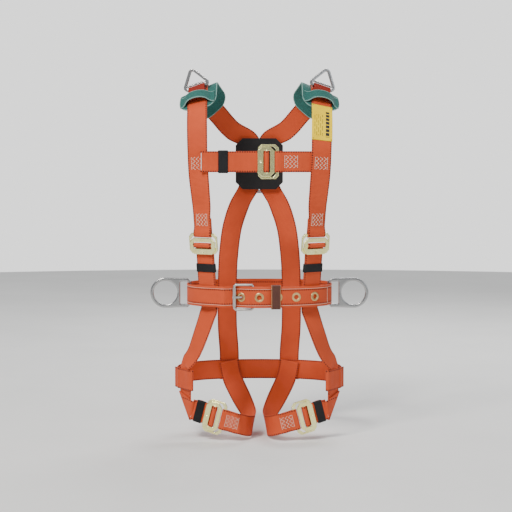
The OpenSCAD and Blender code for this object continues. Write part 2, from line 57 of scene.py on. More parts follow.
rungSlack = 2e-6       # how far a rung may miss the ribbon's thickness
straightEnough = 0.975  # cosine below which a station counts as twisted


# joint axes, joint places and unit vectors as arrays
def axisOf(jointName):
    return np.array(joints[jointName]["axis"], float)


def placeOf(jointName):
    return np.array(joints[jointName]["pos_m"], float)


def unit(v):
    return v / np.linalg.norm(v)


def outwardFaces(obj):
    # turns every face of a new mesh to look out of it
    bm = bmesh.new()
    bm.from_mesh(obj.data)
    bmesh.ops.recalc_face_normals(bm, faces=bm.faces)
    bm.to_mesh(obj.data)
    bm.free()


def weldedMesh(name):
    # vertices and triangles of a CAD node with its split corners joined
    mesh = nodes[name].data
    mesh.calc_loop_triangles()
    co = np.array([v.co[:] for v in mesh.vertices])
    keys, inverse = np.unique(np.round(co, 6), axis=0, return_inverse=True)
    inverse = inverse.ravel()
    tris = np.array([[inverse[i] for i in t.vertices] for t in mesh.loop_triangles])
    return keys, tris


def ribbonRings(name, thick, wide):
    # A ribbon's side faces step from one thickness edge to the next,
    # so following them gives its rings in order
    co, tris = weldedMesh(name)
    pairAt, pairs = {}, []
    for tri in tris:
        for a, b in ((0, 1), (1, 2), (2, 0)):
            i, j = sorted((tri[a], tri[b]))
            isRung = abs(np.linalg.norm(co[i] - co[j]) - thick) < rungSlack
            if isRung and (i, j) not in pairAt:
                pairAt[(i, j)] = len(pairs)
                pairs.append((i, j))
    ofVertex = {}
    for k, (i, j) in enumerate(pairs):
        ofVertex.setdefault(i, []).append(k)
        ofVertex.setdefault(j, []).append(k)
    near = [set() for _ in pairs]
    for tri in tris:
        for a, b, c in ((0, 1, 2), (1, 2, 0), (2, 0, 1)):
            key = tuple(sorted((tri[a], tri[b])))
            if key in pairAt:
                for other in ofVertex.get(tri[c], []):
                    if other != pairAt[key]:
                        near[pairAt[key]].add(other)
                        near[other].add(pairAt[key])
    mids = np.array([(co[i] + co[j]) / 2 for i, j in pairs])
    best = []
    seen = set()
    for start in range(len(pairs)):
        if start in seen:
            continue
        loop, last, here = [start], None, start
        seen.add(start)
        while True:
            ahead = [k for k in near[here] if k != last and k not in seen]
            if not ahead:
                break
            last, here = here, ahead[0]
            seen.add(here)
            loop.append(here)
        if len(loop) > len(best):
            best = loop
    return pairUp(mids[best], wide)


def pairUp(loop, wide):
    # cuts a closed run of points into two facing sides that lie the given width apart
    n = len(loop)
    half = n // 2
    def sides(k):
        return (np.array([loop[(k + i) % n] for i in range(half)]),
                np.array([loop[(k - 1 - i) % n] for i in range(half)]))
    def misfit(k):
        a, b = sides(k)
        return np.abs(np.linalg.norm(a - b, axis=1) - wide).mean()
    return sides(min(range(n), key=misfit))


def untwisted(left, right):
    # leaves out the stations whose direction breaks away from those around them
    half = right - left
    keep = []
    for i in range(len(half)):
        around = half[max(0, i - 2)] + half[min(len(half) - 1, i + 2)]
        keep.append(i in (0, len(half) - 1) or np.dot(unit(around), unit(half[i])) > straightEnough)
    return left[keep], right[keep]


def beltRings(name, thick, wide):
    # The belt stands upright, so the outline of its top edge gives its route
    co, tris = weldedMesh(name)
    top = co[:, 2].max()
    flat = [t for t in tris if all(co[i][2] > top - 1e-5 for i in t)]
    count = {}
    for t in flat:
        for a, b in ((t[0], t[1]), (t[1], t[2]), (t[2], t[0])):
            key = tuple(sorted((a, b)))
            count[key] = count.get(key, 0) + 1
    near = {}
    for (a, b), k in count.items():
        if k == 1:
            near.setdefault(a, []).append(b)
            near.setdefault(b, []).append(a)
    start = min(near)
    loop, last, here = [start], None, start
    while True:
        ahead = [k for k in near[here] if k != last]
        if not ahead or (ahead[0] == start and len(loop) > 2):
            break
        last, here = here, ahead[0]
        loop.append(here)
    outer, inner = pairUp(co[loop], thick)
    middle = (outer + inner) / 2
    down = np.array([0, 0, wide])
    return middle, middle - down


webbing = {"width": 45 * mm, "thickness": 2.2 * mm, "loopWidth": 38 * mm, "step": 3 * mm}


class Strip:
    # A resampled strap: middle line, half-width vectors, normals and the length along it

    def __init__(self, left, right, step, thick):
        mid, half = (left + right) / 2, (right - left) / 2
        usual = np.median(np.linalg.norm(half, axis=1))
        crease = np.linalg.norm(half, axis=1) > 1.1 * usual
        spans = np.linalg.norm(np.diff(mid, axis=0), axis=1)
        run = np.concatenate([[0], np.cumsum(np.maximum(spans, 1e-6))])
        both = np.hstack([mid, half])
        slope = np.zeros_like(both)
        gaps = np.diff(run)
        steps = np.diff(both, axis=0) / gaps[:, None]
        slope[0], slope[-1] = steps[0], steps[-1]
        w = gaps[1:, None] + gaps[:-1, None]
        slope[1:-1] = (steps[1:] * gaps[:-1, None] + steps[:-1] * gaps[1:, None]) / w
        rows, marks = [], []
        for i in range(len(mid) - 1):
            k = max(1, int(round(gaps[i] / step)))
            stiff = crease[i] or crease[i + 1]
            for j in range(k):
                u = j / k
                if stiff:
                    rows.append(both[i] * (1 - u) + both[i + 1] * u)
                else:
                    h = gaps[i]
                    rows.append((2 * u**3 - 3 * u**2 + 1) * both[i] + (u**3 - 2 * u**2 + u) * h * slope[i]
                                + (3 * u**2 - 2 * u**3) * both[i + 1] + (u**3 - u**2) * h * slope[i + 1])
        rows.append(both[-1])
        rows = np.array(rows)
        self.mid, self.half = rows[:, :3], rows[:, 3:]
        ahead = np.gradient(self.mid, axis=0)
        n = np.cross(self.half, ahead)
        self.normal = n / np.linalg.norm(n, axis=1)[:, None]
        self.run = np.concatenate([[0], np.cumsum(np.linalg.norm(np.diff(self.mid, axis=0), axis=1))])
        self.thick = thick

    def at(self, s, x, lift):
        # point at run s, x metres from the middle, lifted from the middle layer
        i = int(np.clip(np.searchsorted(self.run, s) - 1, 0, len(self.run) - 2))
        u = (s - self.run[i]) / (self.run[i + 1] - self.run[i])
        mix = lambda v: v[i] * (1 - u) + v[i + 1] * u
        half = mix(self.half)
        return mix(self.mid) + unit(half) * x + unit(mix(self.normal)) * lift

    def part(self, s0, s1):
        # the piece of the strip between two runs
        keep = (self.run >= s0) & (self.run <= s1)
        new = object.__new__(Strip)
        new.mid, new.half, new.normal = self.mid[keep], self.half[keep], self.normal[keep]
        new.thick = self.thick
        new.run = self.run[keep] - self.run[keep][0]
        return new

    def layer(self, s0, s1, width, lift, thickness, step=2 * mm):
        # a second strip lying at a height over this one
        runs = np.linspace(s0, s1, max(2, int((s1 - s0) / step)))
        new = object.__new__(Strip)
        new.mid = np.array([self.at(r, 0, lift) for r in runs])
        new.half = np.array([self.at(r, width / 2, lift) - self.at(r, 0, lift) for r in runs])
        n = np.cross(new.half, np.gradient(new.mid, axis=0))
        new.normal = n / np.linalg.norm(n, axis=1)[:, None]
        new.thick = thickness
        new.run = runs - s0
        return new

    def nearest(self, point, after=0.0, before=9.0):
        d = np.linalg.norm(self.mid - np.array(point), axis=1)
        d[(self.run < after) | (self.run > before)] = 9
        return float(self.run[int(np.argmin(d))])

    def side(self, s, outward):
        i = int(np.argmin(np.abs(self.run - s)))
        return 1.0 if self.normal[i] @ np.array(outward) > 0 else -1.0


# Half of a webbing's section, from one selvedge to the other: share of half width, share of half thickness
section = [(-1.0, 0.0), (-0.993, 0.55), (-0.972, 0.9), (-0.93, 1.0), (-0.8, 0.97), (-0.5, 1.0), (0.0, 1.0),
           (0.5, 1.0), (0.8, 0.97), (0.93, 1.0), (0.972, 0.9), (0.993, 0.55), (1.0, 0.0)]


def meshObject(name, verts, faces, uvs=None):
    # a smooth-shaded object from points, faces and one UV for each point
    mesh = bpy.data.meshes.new(name)
    mesh.from_pydata([tuple(v) for v in verts], [], faces)
    if uvs is not None:
        layer = mesh.uv_layers.new(name="UVMap")
        for loop in mesh.loops:
            layer.data[loop.index].uv = uvs[loop.vertex_index]
    mesh.polygons.foreach_set("use_smooth", [True] * len(mesh.polygons))
    mesh.update()
    obj = bpy.data.objects.new(name, mesh)
    bpy.context.scene.collection.objects.link(obj)
    return obj


def stripMesh(name, strip, material):
    # a closed webbing solid along a strip
    ring = section + [(x, -y) for x, y in reversed(section[1:-1])]
    k = len(ring)
    verts, uvs = [], []
    for i in range(len(strip.mid)):
        for x, y in ring:
            verts.append(strip.mid[i] + strip.half[i] * x + strip.normal[i] * y * strip.thick / 2)
            uvs.append((x * np.linalg.norm(strip.half[i]), strip.run[i]))
    faces = []
    for i in range(len(strip.mid) - 1):
        for j in range(k):
            a, b = i * k + j, i * k + (j + 1) % k
            faces.append((a, b, b + k, a + k))
    last = (len(strip.mid) - 1) * k
    faces.append(tuple(reversed(range(k))))
    faces.append(tuple(last + j for j in range(k)))
    obj = meshObject(name, verts, faces, uvs)
    outwardFaces(obj)
    obj.data.materials.append(material)
    return obj


class Graph:
    # short names for building a node material

    def __init__(self, name, colour, rough, metal=0.0, spec=0.5):
        self.material = bpy.data.materials.new(name)
        self.material.use_nodes = True
        self.tree = self.material.node_tree
        self.shader = self.tree.nodes["Principled BSDF"]
        self.shader.inputs["Base Color"].default_value = (*colour, 1)
        self.shader.inputs["Roughness"].default_value = rough
        self.shader.inputs["Metallic"].default_value = metal
        self.shader.inputs["Specular IOR Level"].default_value = spec
        self.material.diffuse_color = (*colour, 1)

    def node(self, kind, **values):
        n = self.tree.nodes.new(kind)
        for key, value in values.items():
            setattr(n, key, value)
        return n

    def link(self, a, b):
        self.tree.links.new(a, b)

    def math(self, op, a, b=None, c=None):
        n = self.node("ShaderNodeMath", operation=op)
        for socket, v in zip(n.inputs, (a, b, c)):
            if v is None:
                continue
            if hasattr(v, "links"):
                self.link(v, socket)
            else:
                socket.default_value = v
        return n.outputs[0]

    def uv(self):
        split = self.node("ShaderNodeSeparateXYZ")
        self.link(self.node("ShaderNodeTexCoord").outputs["UV"], split.inputs[0])
        return split.outputs[0], split.outputs[1]

    def noise(self, scale, detail=3.0, rough=0.55, stretch=None):
        n = self.node("ShaderNodeTexNoise")
        n.inputs["Scale"].default_value = scale
        n.inputs["Detail"].default_value = detail
        n.inputs["Roughness"].default_value = rough
        place = self.node("ShaderNodeTexCoord").outputs["Object"]
        if stretch:
            m = self.node("ShaderNodeMapping")
            m.inputs["Scale"].default_value = stretch
            self.link(place, m.inputs[0])
            place = m.outputs[0]
        self.link(place, n.inputs["Vector"])
        return n.outputs["Fac"]

    def mix(self, fac, a, b):
        n = self.node("ShaderNodeMix", data_type="RGBA")
        self.link(fac, n.inputs["Factor"])
        for socket, v in ((n.inputs[6], a), (n.inputs[7], b)):
            if hasattr(v, "links"):
                self.link(v, socket)
            else:
                socket.default_value = (*v, 1)
        return n.outputs[2]

    def span(self, value, low, high, to0=0.0, to1=1.0):
        n = self.node("ShaderNodeMapRange")
        self.link(value, n.inputs[0])
        for k, v in zip((1, 2, 3, 4), (low, high, to0, to1)):
            n.inputs[k].default_value = v
        return n.outputs[0]

    def colour(self, socket):
        self.link(socket, self.shader.inputs["Base Color"])

    def rough(self, socket):
        self.link(socket, self.shader.inputs["Roughness"])

    def bump(self, height, strength, distance):
        n = self.node("ShaderNodeBump")
        n.inputs["Strength"].default_value = strength
        n.inputs["Distance"].default_value = distance
        self.link(height, n.inputs["Height"])
        self.link(n.outputs[0], self.shader.inputs["Normal"])

    def sheen(self, amount, rough, tint):
        self.shader.inputs["Sheen Weight"].default_value = amount
        self.shader.inputs["Sheen Roughness"].default_value = rough
        self.shader.inputs["Sheen Tint"].default_value = (*tint, 1)


def wovenMaterial(name, colour, dark, tracer=None, rows=(20.7,), pitch=5.2, rib=2.6, dash=0.5):
    # ribbed polyester webbing; u runs across and v along, in metres
    g = Graph(name, colour, 0.7, spec=0.25)
    u, v = g.uv()
    ribs = g.math("SINE", g.math("MULTIPLY", v, 2 * math.pi / (rib * mm)))
    plies = g.math("SINE", g.math("MULTIPLY", u, 2 * math.pi / (1.1 * mm)))
    weave = g.math("MULTIPLY_ADD", ribs, 0.6, g.math("MULTIPLY", g.math("MULTIPLY", ribs, plies), 0.4))
    fuzz = g.noise(1800, 4)
    fade = g.noise(14, 4, 0.6)
    shade = g.math("MULTIPLY_ADD", g.span(weave, -1, 1), 0.42, g.math("MULTIPLY", fuzz, 0.45))
    base = g.mix(g.span(shade, 0.15, 0.75), dark, colour)
    base = g.mix(g.span(fade, 0.3, 0.75, 0.0, 0.3), base, tuple(min(1, c * 1.2 + 0.012) for c in colour))
    across = g.math("ABSOLUTE", u)
    height = g.math("MULTIPLY_ADD", fuzz, 0.35, weave)
    if tracer:
        mask = None
        for row in rows:
            line = g.math("LESS_THAN", g.math("ABSOLUTE", g.math("SUBTRACT", across, row * mm)), 1.4 * mm)
            mask = line if mask is None else g.math("MAXIMUM", mask, line)
        beat = g.math("LESS_THAN", g.math("FRACT", g.math("DIVIDE", v, pitch * mm)), dash)
        mask = g.math("MULTIPLY", mask, beat)
        base = g.mix(mask, base, tracer)
        height = g.math("MULTIPLY_ADD", mask, -1.0, height)
    g.colour(base)
    g.rough(g.span(fuzz, 0.3, 0.7, 0.6, 0.82))
    g.bump(height, 0.55, 0.00035)
    g.sheen(0.08, 0.4, tuple(min(1, c + 0.15) for c in colour))
    return g.material


def clothMaterial(name, colour, dark, grain=900, rough=0.85, sheen=0.3, strength=0.5):
    # pad cloth, elastic, leather and moulded plastic, by grain and roughness
    g = Graph(name, colour, rough, spec=0.2)
    fine = g.noise(grain, 3)
    cell = g.node("ShaderNodeTexVoronoi")
    cell.inputs["Scale"].default_value = grain * 0.45
    g.link(g.node("ShaderNodeTexCoord").outputs["Object"], cell.inputs["Vector"])
    both = g.math("MULTIPLY_ADD", cell.outputs["Distance"], 0.8, g.math("MULTIPLY", fine, 0.5))
    base = g.mix(g.span(both, 0.2, 0.85), dark, colour)
    worn = tuple(min(1, c * 1.3 + 0.03) for c in colour)
    base = g.mix(g.span(g.noise(9, 4, 0.6), 0.35, 0.75, 0, 0.25), base, worn)
    g.colour(base)
    g.bump(both, strength, 0.0004)
    g.sheen(sheen, 0.5, tuple(min(1, c + 0.25) for c in colour))
    return g.material


def metalMaterial(name, colour, worn, rough=0.25, scale=60, coat=0.0):
    # plated or bare metal, slightly clouded and scuffed
    g = Graph(name, colour, rough, metal=1.0)
    cloud = g.noise(scale, 5, 0.6)
    scuff = g.noise(scale * 9, 3, 0.7, (1, 1, 3))
    g.colour(g.mix(g.span(cloud, 0.42, 0.75, 0, 0.7), colour, worn))
    wear = g.math("MULTIPLY_ADD", scuff, 0.5, g.math("MULTIPLY", cloud, 0.5))
    g.rough(g.span(wear, 0.3, 0.7, rough * 0.7, min(1, rough * 1.6)))
    g.bump(scuff, 0.08, 0.0002)
    g.shader.inputs["Coat Weight"].default_value = coat
    g.shader.inputs["Coat Roughness"].default_value = 0.12
    return g.material


def threadMaterial(name, colour):
    # twisted sewing thread
    g = Graph(name, colour, 0.6, spec=0.35)
    g.colour(g.mix(g.span(g.noise(2500, 2), 0.3, 0.7), tuple(c * 0.7 for c in colour), colour))
    g.sheen(0.3, 0.4, (1, 1, 1))
    return g.material


class Tubes:
    # many short round threads gathered into one mesh

    def __init__(self, sides=6):
        self.verts, self.faces, self.sides = [], [], sides

    def add(self, points, radius):
        pts = np.array(points, float)
        ahead = np.gradient(pts, axis=0)
        guide = np.array([0.31, 0.87, 0.42])
        base, k = len(self.verts), self.sides
        for i, p in enumerate(pts):
            t = unit(ahead[i])
            a = unit(np.cross(t, guide))
            b = np.cross(t, a)
            r = radius * (0.55 if i in (0, len(pts) - 1) else 1.0)
            for j in range(k):
                w = 2 * math.pi * j / k
                self.verts.append(p + r * (math.cos(w) * a + math.sin(w) * b))
        for i in range(len(pts) - 1):
            for j in range(k):
                m, n = base + i * k + j, base + i * k + (j + 1) % k
                self.faces.append((m, n, n + k, m + k))
        self.faces.append(tuple(base + j for j in reversed(range(k))))
        self.faces.append(tuple(base + (len(pts) - 1) * k + j for j in range(k)))

    def build(self, name, material, body="webbing"):
        obj = meshObject(name, self.verts, self.faces)
        obj.data.materials.append(material)
        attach(obj, body)
        return obj


sewing = {"thread": 0.42 * mm, "bold": 0.62 * mm, "stitch": 2.9 * mm, "pitch": 3.7 * mm,
          "lift": 0.32 * mm, "border": 1.2 * mm, "zigzag": 0.42}


def stitchLine(tubes, strip, a, b, side, radius=None):
    # stitches from a to b, each given as run and offset on the strip
    radius = radius or sewing["thread"]
    (s0, x0), (s1, x1) = a, b
    length = math.hypot(s1 - s0, x1 - x0)
    count = max(1, int(round(length / sewing["pitch"])))
    share = sewing["stitch"] / sewing["pitch"] / count / 2
    top = strip.thick / 2
    for i in range(count):
        c = (i + 0.5) / count
        line = []
        for f, lift in ((-1, -0.2), (-0.6, 0.7), (0.6, 0.7), (1, -0.2)):
            w = c + f * share
            height = side * (top + lift * sewing["lift"])
            line.append(strip.at(s0 + (s1 - s0) * w, x0 + (x1 - x0) * w, height))
        tubes.add(line, radius)


def stitchPath(tubes, strip, path, side, radius=None):
    # stitches through each pair of points in turn
    for a, b in zip(path, path[1:]):
        stitchLine(tubes, strip, a, b, side, radius)


def sewnPatch(tubes, strip, centre, side, turned=False,
              length=27 * mm, width=25 * mm, teeth=3, rows=3):
    # a load-bearing seam: zigzags beside each other, between two border lines
    # turned means that they run across the strap
    h, w = length / 2, width / 2
    bold = sewing["bold"]
    spot = (lambda a, x: (centre + x, a)) if turned else (lambda a, x: (centre + a, x))
    for x in (-w - sewing["border"], w + sewing["border"]):
        stitchPath(tubes, strip, [spot(-h, x), spot(h, x)], side, bold)
    cell = width / rows
    for k in range(rows):
        x = -w + (k + 0.5) * cell
        sway = sewing["zigzag"]
        path = [spot(-h + length * i / (2 * teeth), x + (sway if i % 2 else -sway) * cell)
                for i in range(2 * teeth + 1)]
        stitchPath(tubes, strip, path, side, bold)


def outermost(strip, point, outward, reach=5 * mm):
    # the run where the strip passes a point on its outermost layer
    outward = np.array(outward, float)
    flat = strip.mid - np.array(point)
    flat = flat - np.outer(flat @ outward, outward)
    near = np.linalg.norm(flat, axis=1)
    close = [i for i in range(len(near)) if near[i] < near.min() + reach]
    best = max(close, key=lambda i: strip.mid[i] @ outward - near[i])
    return float(strip.run[best])


def soften(name, material, width, segments=3, angle=30):
    # a CAD node with joined corners, rounded edges and its finish
    obj = nodes[name]
    obj.modifiers.new("Weld", "WELD").merge_threshold = weldReach
    bevel = obj.modifiers.new("Bevel", "BEVEL")
    bevel.width, bevel.segments = width, segments
    bevel.limit_method, bevel.angle_limit = "ANGLE", math.radians(angle)
    bevel.use_clamp_overlap = True
    obj.data.polygons.foreach_set("use_smooth", [True] * len(obj.data.polygons))
    obj.data.materials.clear()
    obj.data.materials.append(material)
    obj.modifiers.new("Normals", "WEIGHTED_NORMAL").keep_sharp = False


def roundOff(name, material, voxel, rounds, keep=0.5):
    # a forged or pressed CAD node with all its edges and corners rounded
    obj = nodes[name]
    obj.modifiers.new("Weld", "WELD").merge_threshold = weldReach
    remesh = obj.modifiers.new("Remesh", "REMESH")
    remesh.mode, remesh.voxel_size, remesh.use_smooth_shade = "VOXEL", voxel, True
    smooth = obj.modifiers.new("Smooth", "SMOOTH")
    smooth.factor, smooth.iterations = 0.5, rounds
    grow = obj.modifiers.new("Grow", "DISPLACE")
    grow.strength, grow.mid_level = 0.25 * mm, 0
    thin = obj.modifiers.new("Thin", "DECIMATE")
    thin.ratio = keep
    obj.data.materials.clear()
    obj.data.materials.append(material)


# the loop colour is the orange webbing darkened with painted shade, for the ring loops that stand in shade
# above the pad bridges
colours = {"orange": (0.7, 0.096, 0.024), "orangeDark": (0.34, 0.03, 0.008), "tracer": (0.03, 0.004, 0.005),
           "loop": (0.3, 0.02, 0.008), "cream": (0.92, 0.76, 0.6)}
orange = wovenMaterial("webbingOrange", colours["orange"], colours["orangeDark"], colours["tracer"])
beltWeave = wovenMaterial("webbingBelt", colours["orange"], colours["orangeDark"], colours["tracer"],
                          rows=(15.0,))
# the ring loops' webbing is a shaded copy of the orange weave: its darker colour is painted shade
shadedLoopWeave = wovenMaterial("webbingLoopShaded", colours["loop"], tuple(c * 0.5 for c in colours["loop"]))
cream = threadMaterial("threadCream", colours["cream"])

steel = metalMaterial("steelBright", (0.46, 0.46, 0.462), (0.36, 0.36, 0.36), 0.2)
zinc = metalMaterial("zincYellow", (0.95, 0.93, 0.45), (0.88, 0.78, 0.28), 0.24, coat=0.3)
silver = metalMaterial("nickelFrame", (0.6, 0.59, 0.56), (0.36, 0.35, 0.33), 0.28)
brass = metalMaterial("brassEyelet", (0.72, 0.5, 0.22), (0.4, 0.25, 0.1), 0.3)
teal = clothMaterial("padTeal", (0.024, 0.125, 0.108), (0.008, 0.05, 0.045))
tealEdge = clothMaterial("padEdge", (0.2, 0.36, 0.32), (0.07, 0.17, 0.15), grain=1400)
rubber = clothMaterial("elasticBlack", (0.01, 0.01, 0.011), (0.004, 0.004, 0.005), grain=1100,
                       rough=0.6, sheen=0.04)
leather = clothMaterial("leatherBrown", (0.085, 0.032, 0.022), (0.055, 0.02, 0.014), grain=900,
                        rough=0.5, sheen=0.05, strength=0.35)
tan = clothMaterial("leatherEdge", (0.4, 0.2, 0.09), (0.2, 0.09, 0.04), grain=600, rough=0.7)
plastic = clothMaterial("plasticBlack", (0.014, 0.014, 0.015), (0.009, 0.009, 0.01), grain=700,
                        rough=0.45, sheen=0.0, strength=0.15)
print("materials made")

thick = webbing["thickness"]
strips = {}
for name in ("right_shoulder_strap", "left_shoulder_strap", "right_hip_strap", "left_hip_strap",
             "right_leg_strap", "left_leg_strap", "sub_pelvic_strap", "chest_strap", "chest_strap_short"):
    rings = ribbonRings(name, thick, webbing["width"])
    if "shoulder" in name:
        rings = untwisted(*rings)
    strips[name] = Strip(*rings, webbing["step"], thick)
for name in ("right_ring_loop", "left_ring_loop"):
    strips[name] = Strip(*ribbonRings(name, thick, webbing["loopWidth"]), webbing["step"], thick)
strips["belt_strap"] = Strip(*beltRings("belt_strap", thick, webbing["width"]), webbing["step"], thick)
padBridge = {"width": 22 * mm, "thickness": 2 * mm, "step": 1.5 * mm, "flare": 0.55, "fill": 0.6}
bridges = {}
for side in ("right", "left"):
    rings = ribbonRings(side + "_shoulder_pad", padBridge["thickness"], padBridge["width"])
    bridge = Strip(*rings, padBridge["step"], padBridge["thickness"])
    bridges[side] = bridge
    under = bridge.mid[len(bridge.mid) // 2]
    loop = strips[side + "_ring_loop"]
    middle = loop.run[-1] / 2
    # the loop ends under the bridge, at either side
    strips[side + "_ring_loop"] = loop.part(loop.nearest(under, before=middle),
                                            loop.nearest(under, after=middle))
for name, strip in strips.items():
    cover = beltWeave if name == "belt_strap" else shadedLoopWeave if "ring_loop" in name else orange
    piece = stripMesh(name + "_web", strip, cover)
    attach(piece, "webbing")
    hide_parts(name)
print("webbing made")


def lumps(name):
    # the separate solids of a CAD node, each an array of points
    co, tris = weldedMesh(name)
    group = list(range(len(co)))
    def root(i):
        while group[i] != i:
            group[i] = group[group[i]]
            i = group[i]
        return i
    for t in tris:
        for k in t[1:]:
            group[root(k)] = root(t[0])
    found = {}
    for i in range(len(co)):
        found.setdefault(root(i), []).append(co[i])
    return [np.array(v) for v in found.values()]


eyelets = {"outer": 10 * mm, "hole": 5 * mm, "turns": 48, "holeSlack": 0.3 * mm}
eyeletAt = sorted(((p.max(axis=0) + p.min(axis=0)) / 2 for p in lumps("belt_eyelets")), key=lambda c: c[0])
eyeletNormal = []
beltStrip = strips["belt_strap"]
for c in eyeletAt:
    n = beltStrip.normal[int(np.argmin(np.linalg.norm(beltStrip.mid - c, axis=1)))]
    eyeletNormal.append(n if n[1] < 0 else -n)


def basis(n):
    # two directions square to n, the first of them level
    a = unit(np.cross([0, 0, 1], n))
    return a, np.cross(n, a)


def eyeletMesh():
    # the rolled eyelets, as one ring of section turned round each hole
    verts, faces = [], []
    o, h = eyelets["outer"], eyelets["hole"]
    corners = np.vstack(lumps("belt_eyelets"))
    for c, n in zip(eyeletAt, eyeletNormal):
        lift = max((p - c) @ n for p in corners if np.linalg.norm(p - c) < o * 1.2)
        # radius and height of the section, from the rim over the dome and down through the hole
        prof = [(o, lift - 1.0 * mm), (o, lift - 0.55 * mm), (o - 0.4 * mm, lift - 0.2 * mm),
                (o - 1.4 * mm, lift + 0.15 * mm), (o - 2.6 * mm, lift + 0.28 * mm),
                (h + 0.9 * mm, lift + 0.1 * mm), (h + 0.25 * mm, lift - 0.35 * mm),
                (h, lift - 1.0 * mm), (h, -lift + 1.0 * mm), (h + 0.3 * mm, -lift + 0.3 * mm),
                (h + 1 * mm, -lift), (o - 0.6 * mm, -lift), (o, -lift + 0.5 * mm),
                (o, -lift + 0.9 * mm), (h + 0.8 * mm, -lift + 1.0 * mm), (h + 0.8 * mm, lift - 1.1 * mm)]
        a, b = basis(n)
        base, k, turns = len(verts), len(prof), eyelets["turns"]
        for i in range(turns):
            w = 2 * math.pi * i / turns
            for r, z in prof:
                verts.append(c + r * (math.cos(w) * a + math.sin(w) * b) + z * n)
        for i in range(turns):
            for j in range(k):
                p, q = base + i * k, base + (i + 1) % turns * k
                faces.append((p + j, q + j, q + (j + 1) % k, p + (j + 1) % k))
    obj = meshObject("eyelets", verts, faces)
    outwardFaces(obj)
    obj.data.materials.append(brass)
    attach(obj, "webbing")
    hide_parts("belt_eyelets")


def punch(obj):
    # cuts the eyelet holes through the belt's tail
    bm = bmesh.new()
    for c, n in zip(eyeletAt, eyeletNormal):
        a, b = basis(n)
        place = Matrix([[a[i], b[i], n[i], c[i]] for i in range(3)] + [[0, 0, 0, 1]])
        hole = eyelets["hole"] + eyelets["holeSlack"]
        bmesh.ops.create_cone(bm, cap_ends=True, segments=40, radius1=hole, radius2=hole,
                              depth=3.4 * mm, matrix=place)
    mesh = bpy.data.meshes.new("cutter")
    bm.to_mesh(mesh)
    bm.free()
    tool = bpy.data.objects.new("cutter", mesh)
    bpy.context.scene.collection.objects.link(tool)
    cut = obj.modifiers.new("cut", "BOOLEAN")
    cut.operation, cut.solver, cut.object = "DIFFERENCE", "EXACT", tool
    done = bpy.data.meshes.new_from_object(obj.evaluated_get(bpy.context.evaluated_depsgraph_get()))
    obj.modifiers.clear()
    obj.data = done
    bpy.data.objects.remove(tool)


punch(bpy.data.objects["belt_strap_web"])
eyeletMesh()
print("belt punched")


bands = {"wall": 1.7 * mm, "rib": 0.16 * mm, "ribPitch": 1.6 * mm, "edge": 0.6 * mm, "corner": 3.2 * mm}


def bandMesh(node, body, jointName, materials, ribbed):
    # a keeper: an endless flat band round the strap, ribbed if elastic
    pts = np.vstack(lumps(node))
    along = unit(axisOf(jointName))
    centre = (pts.max(axis=0) + pts.min(axis=0)) / 2
    flat = pts - centre - np.outer((pts - centre) @ along, along)
    across = unit(np.linalg.svd(flat)[2][0])
    out = np.cross(along, across)
    local = np.stack([(pts - centre) @ across, (pts - centre) @ along, (pts - centre) @ out], axis=1)
    lo, hi = local.min(axis=0), local.max(axis=0)
    centre = centre + ((lo + hi) / 2) @ np.array([across, along, out])
    w, l, h = (hi - lo) / 2
    wall = bands["wall"]
    n = 40 if ribbed else 16
    outer = []
    for i in range(n + 1):
        x = -l + 2 * l * i / n
        edge = min(l - abs(x), bands["edge"]) / bands["edge"]
        swell = bands["rib"] * (math.cos(2 * math.pi * x / bands["ribPitch"]) - 1) if ribbed else 0
        drop = 0.45 * mm * (1 - math.sqrt(max(0, 1 - (1 - edge) ** 2)))
        outer.append((x, -drop + swell))
    profile = outer + [(x, -wall) for x, _ in reversed(outer)]
    route = []
    r = min(h, bands["corner"])
    corners = ((w - r, h - r, 0), (-w + r, h - r, 90), (-w + r, -h + r, 180), (w - r, -h + r, 270))
    for cx, cz, start in corners:
        for k in range(9):
            t = math.radians(start + 90 * k / 8)
            route.append((np.array([cx, cz]), np.array([math.cos(t), math.sin(t)])))
    k = len(profile)
    verts, uvs = [], []
    run = 0
    prev = None
    for c, d in route:
        spot = c + d * r
        run += 0 if prev is None else float(np.linalg.norm(spot - prev))
        prev = spot
        for x, z in profile:
            p = c + d * (r + z)
            verts.append(centre + across * p[0] + along * x + out * p[1])
            uvs.append((x, run))
    m = len(route)
    faces = [(i * k + j, (i + 1) % m * k + j, (i + 1) % m * k + (j + 1) % k, i * k + (j + 1) % k)
             for i in range(m) for j in range(k)]
    obj = meshObject(node + "_band", verts, faces, uvs)
    for material in materials:
        obj.data.materials.append(material)
    if len(materials) > 1:
        side = {n, 2 * n + 1, 0, n - 1}
        for i, poly in enumerate(obj.data.polygons):
            poly.material_index = 1 if i % k in side else 0
    outwardFaces(obj)
    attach(obj, body)
    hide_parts(node)


# voxel size and rounds of smoothing, or width of the rounded edge
hardware = {"adjuster": (0.55 * mm, 5), "buckleFrame": (0.6 * mm, 4), "forgedRing": (0.8 * mm, 12),
            "wireRing": (0.8 * mm, 4), "rollerEdge": 0.3 * mm, "prongEdge": 0.3 * mm,
            "plateEdge": 0.7 * mm, "loopEdge": 0.4 * mm}
for name in nodes:
    # the chest, torso and leg adjusters
    if name.endswith(("_frame", "_plate")) and not name.startswith(("belt", "dorsal")):
        roundOff(name, zinc, *hardware["adjuster"])
roundOff("belt_buckle_frame", silver, *hardware["buckleFrame"])
soften("belt_buckle_roller", silver, hardware["rollerEdge"])
soften("belt_buckle_prong", silver, hardware["prongEdge"])
soften("dorsal_plate", plastic, hardware["plateEdge"])
for name in ("right_side_ring", "left_side_ring", "dorsal_ring"):
    roundOff(name, steel, *hardware["forgedRing"])
for name in ("right_shoulder_ring", "left_shoulder_ring"):
    roundOff(name, steel, *hardware["wireRing"])
bodyOf = {j["name"]: j["child"] for j in frame["joints"]}
for name in ("chest_keeper", "right_torso_keeper", "left_torso_keeper",
             "right_leg_keeper", "left_leg_keeper"):
    bandMesh(name, bodyOf[name + "_slide"], name + "_slide", [rubber], True)
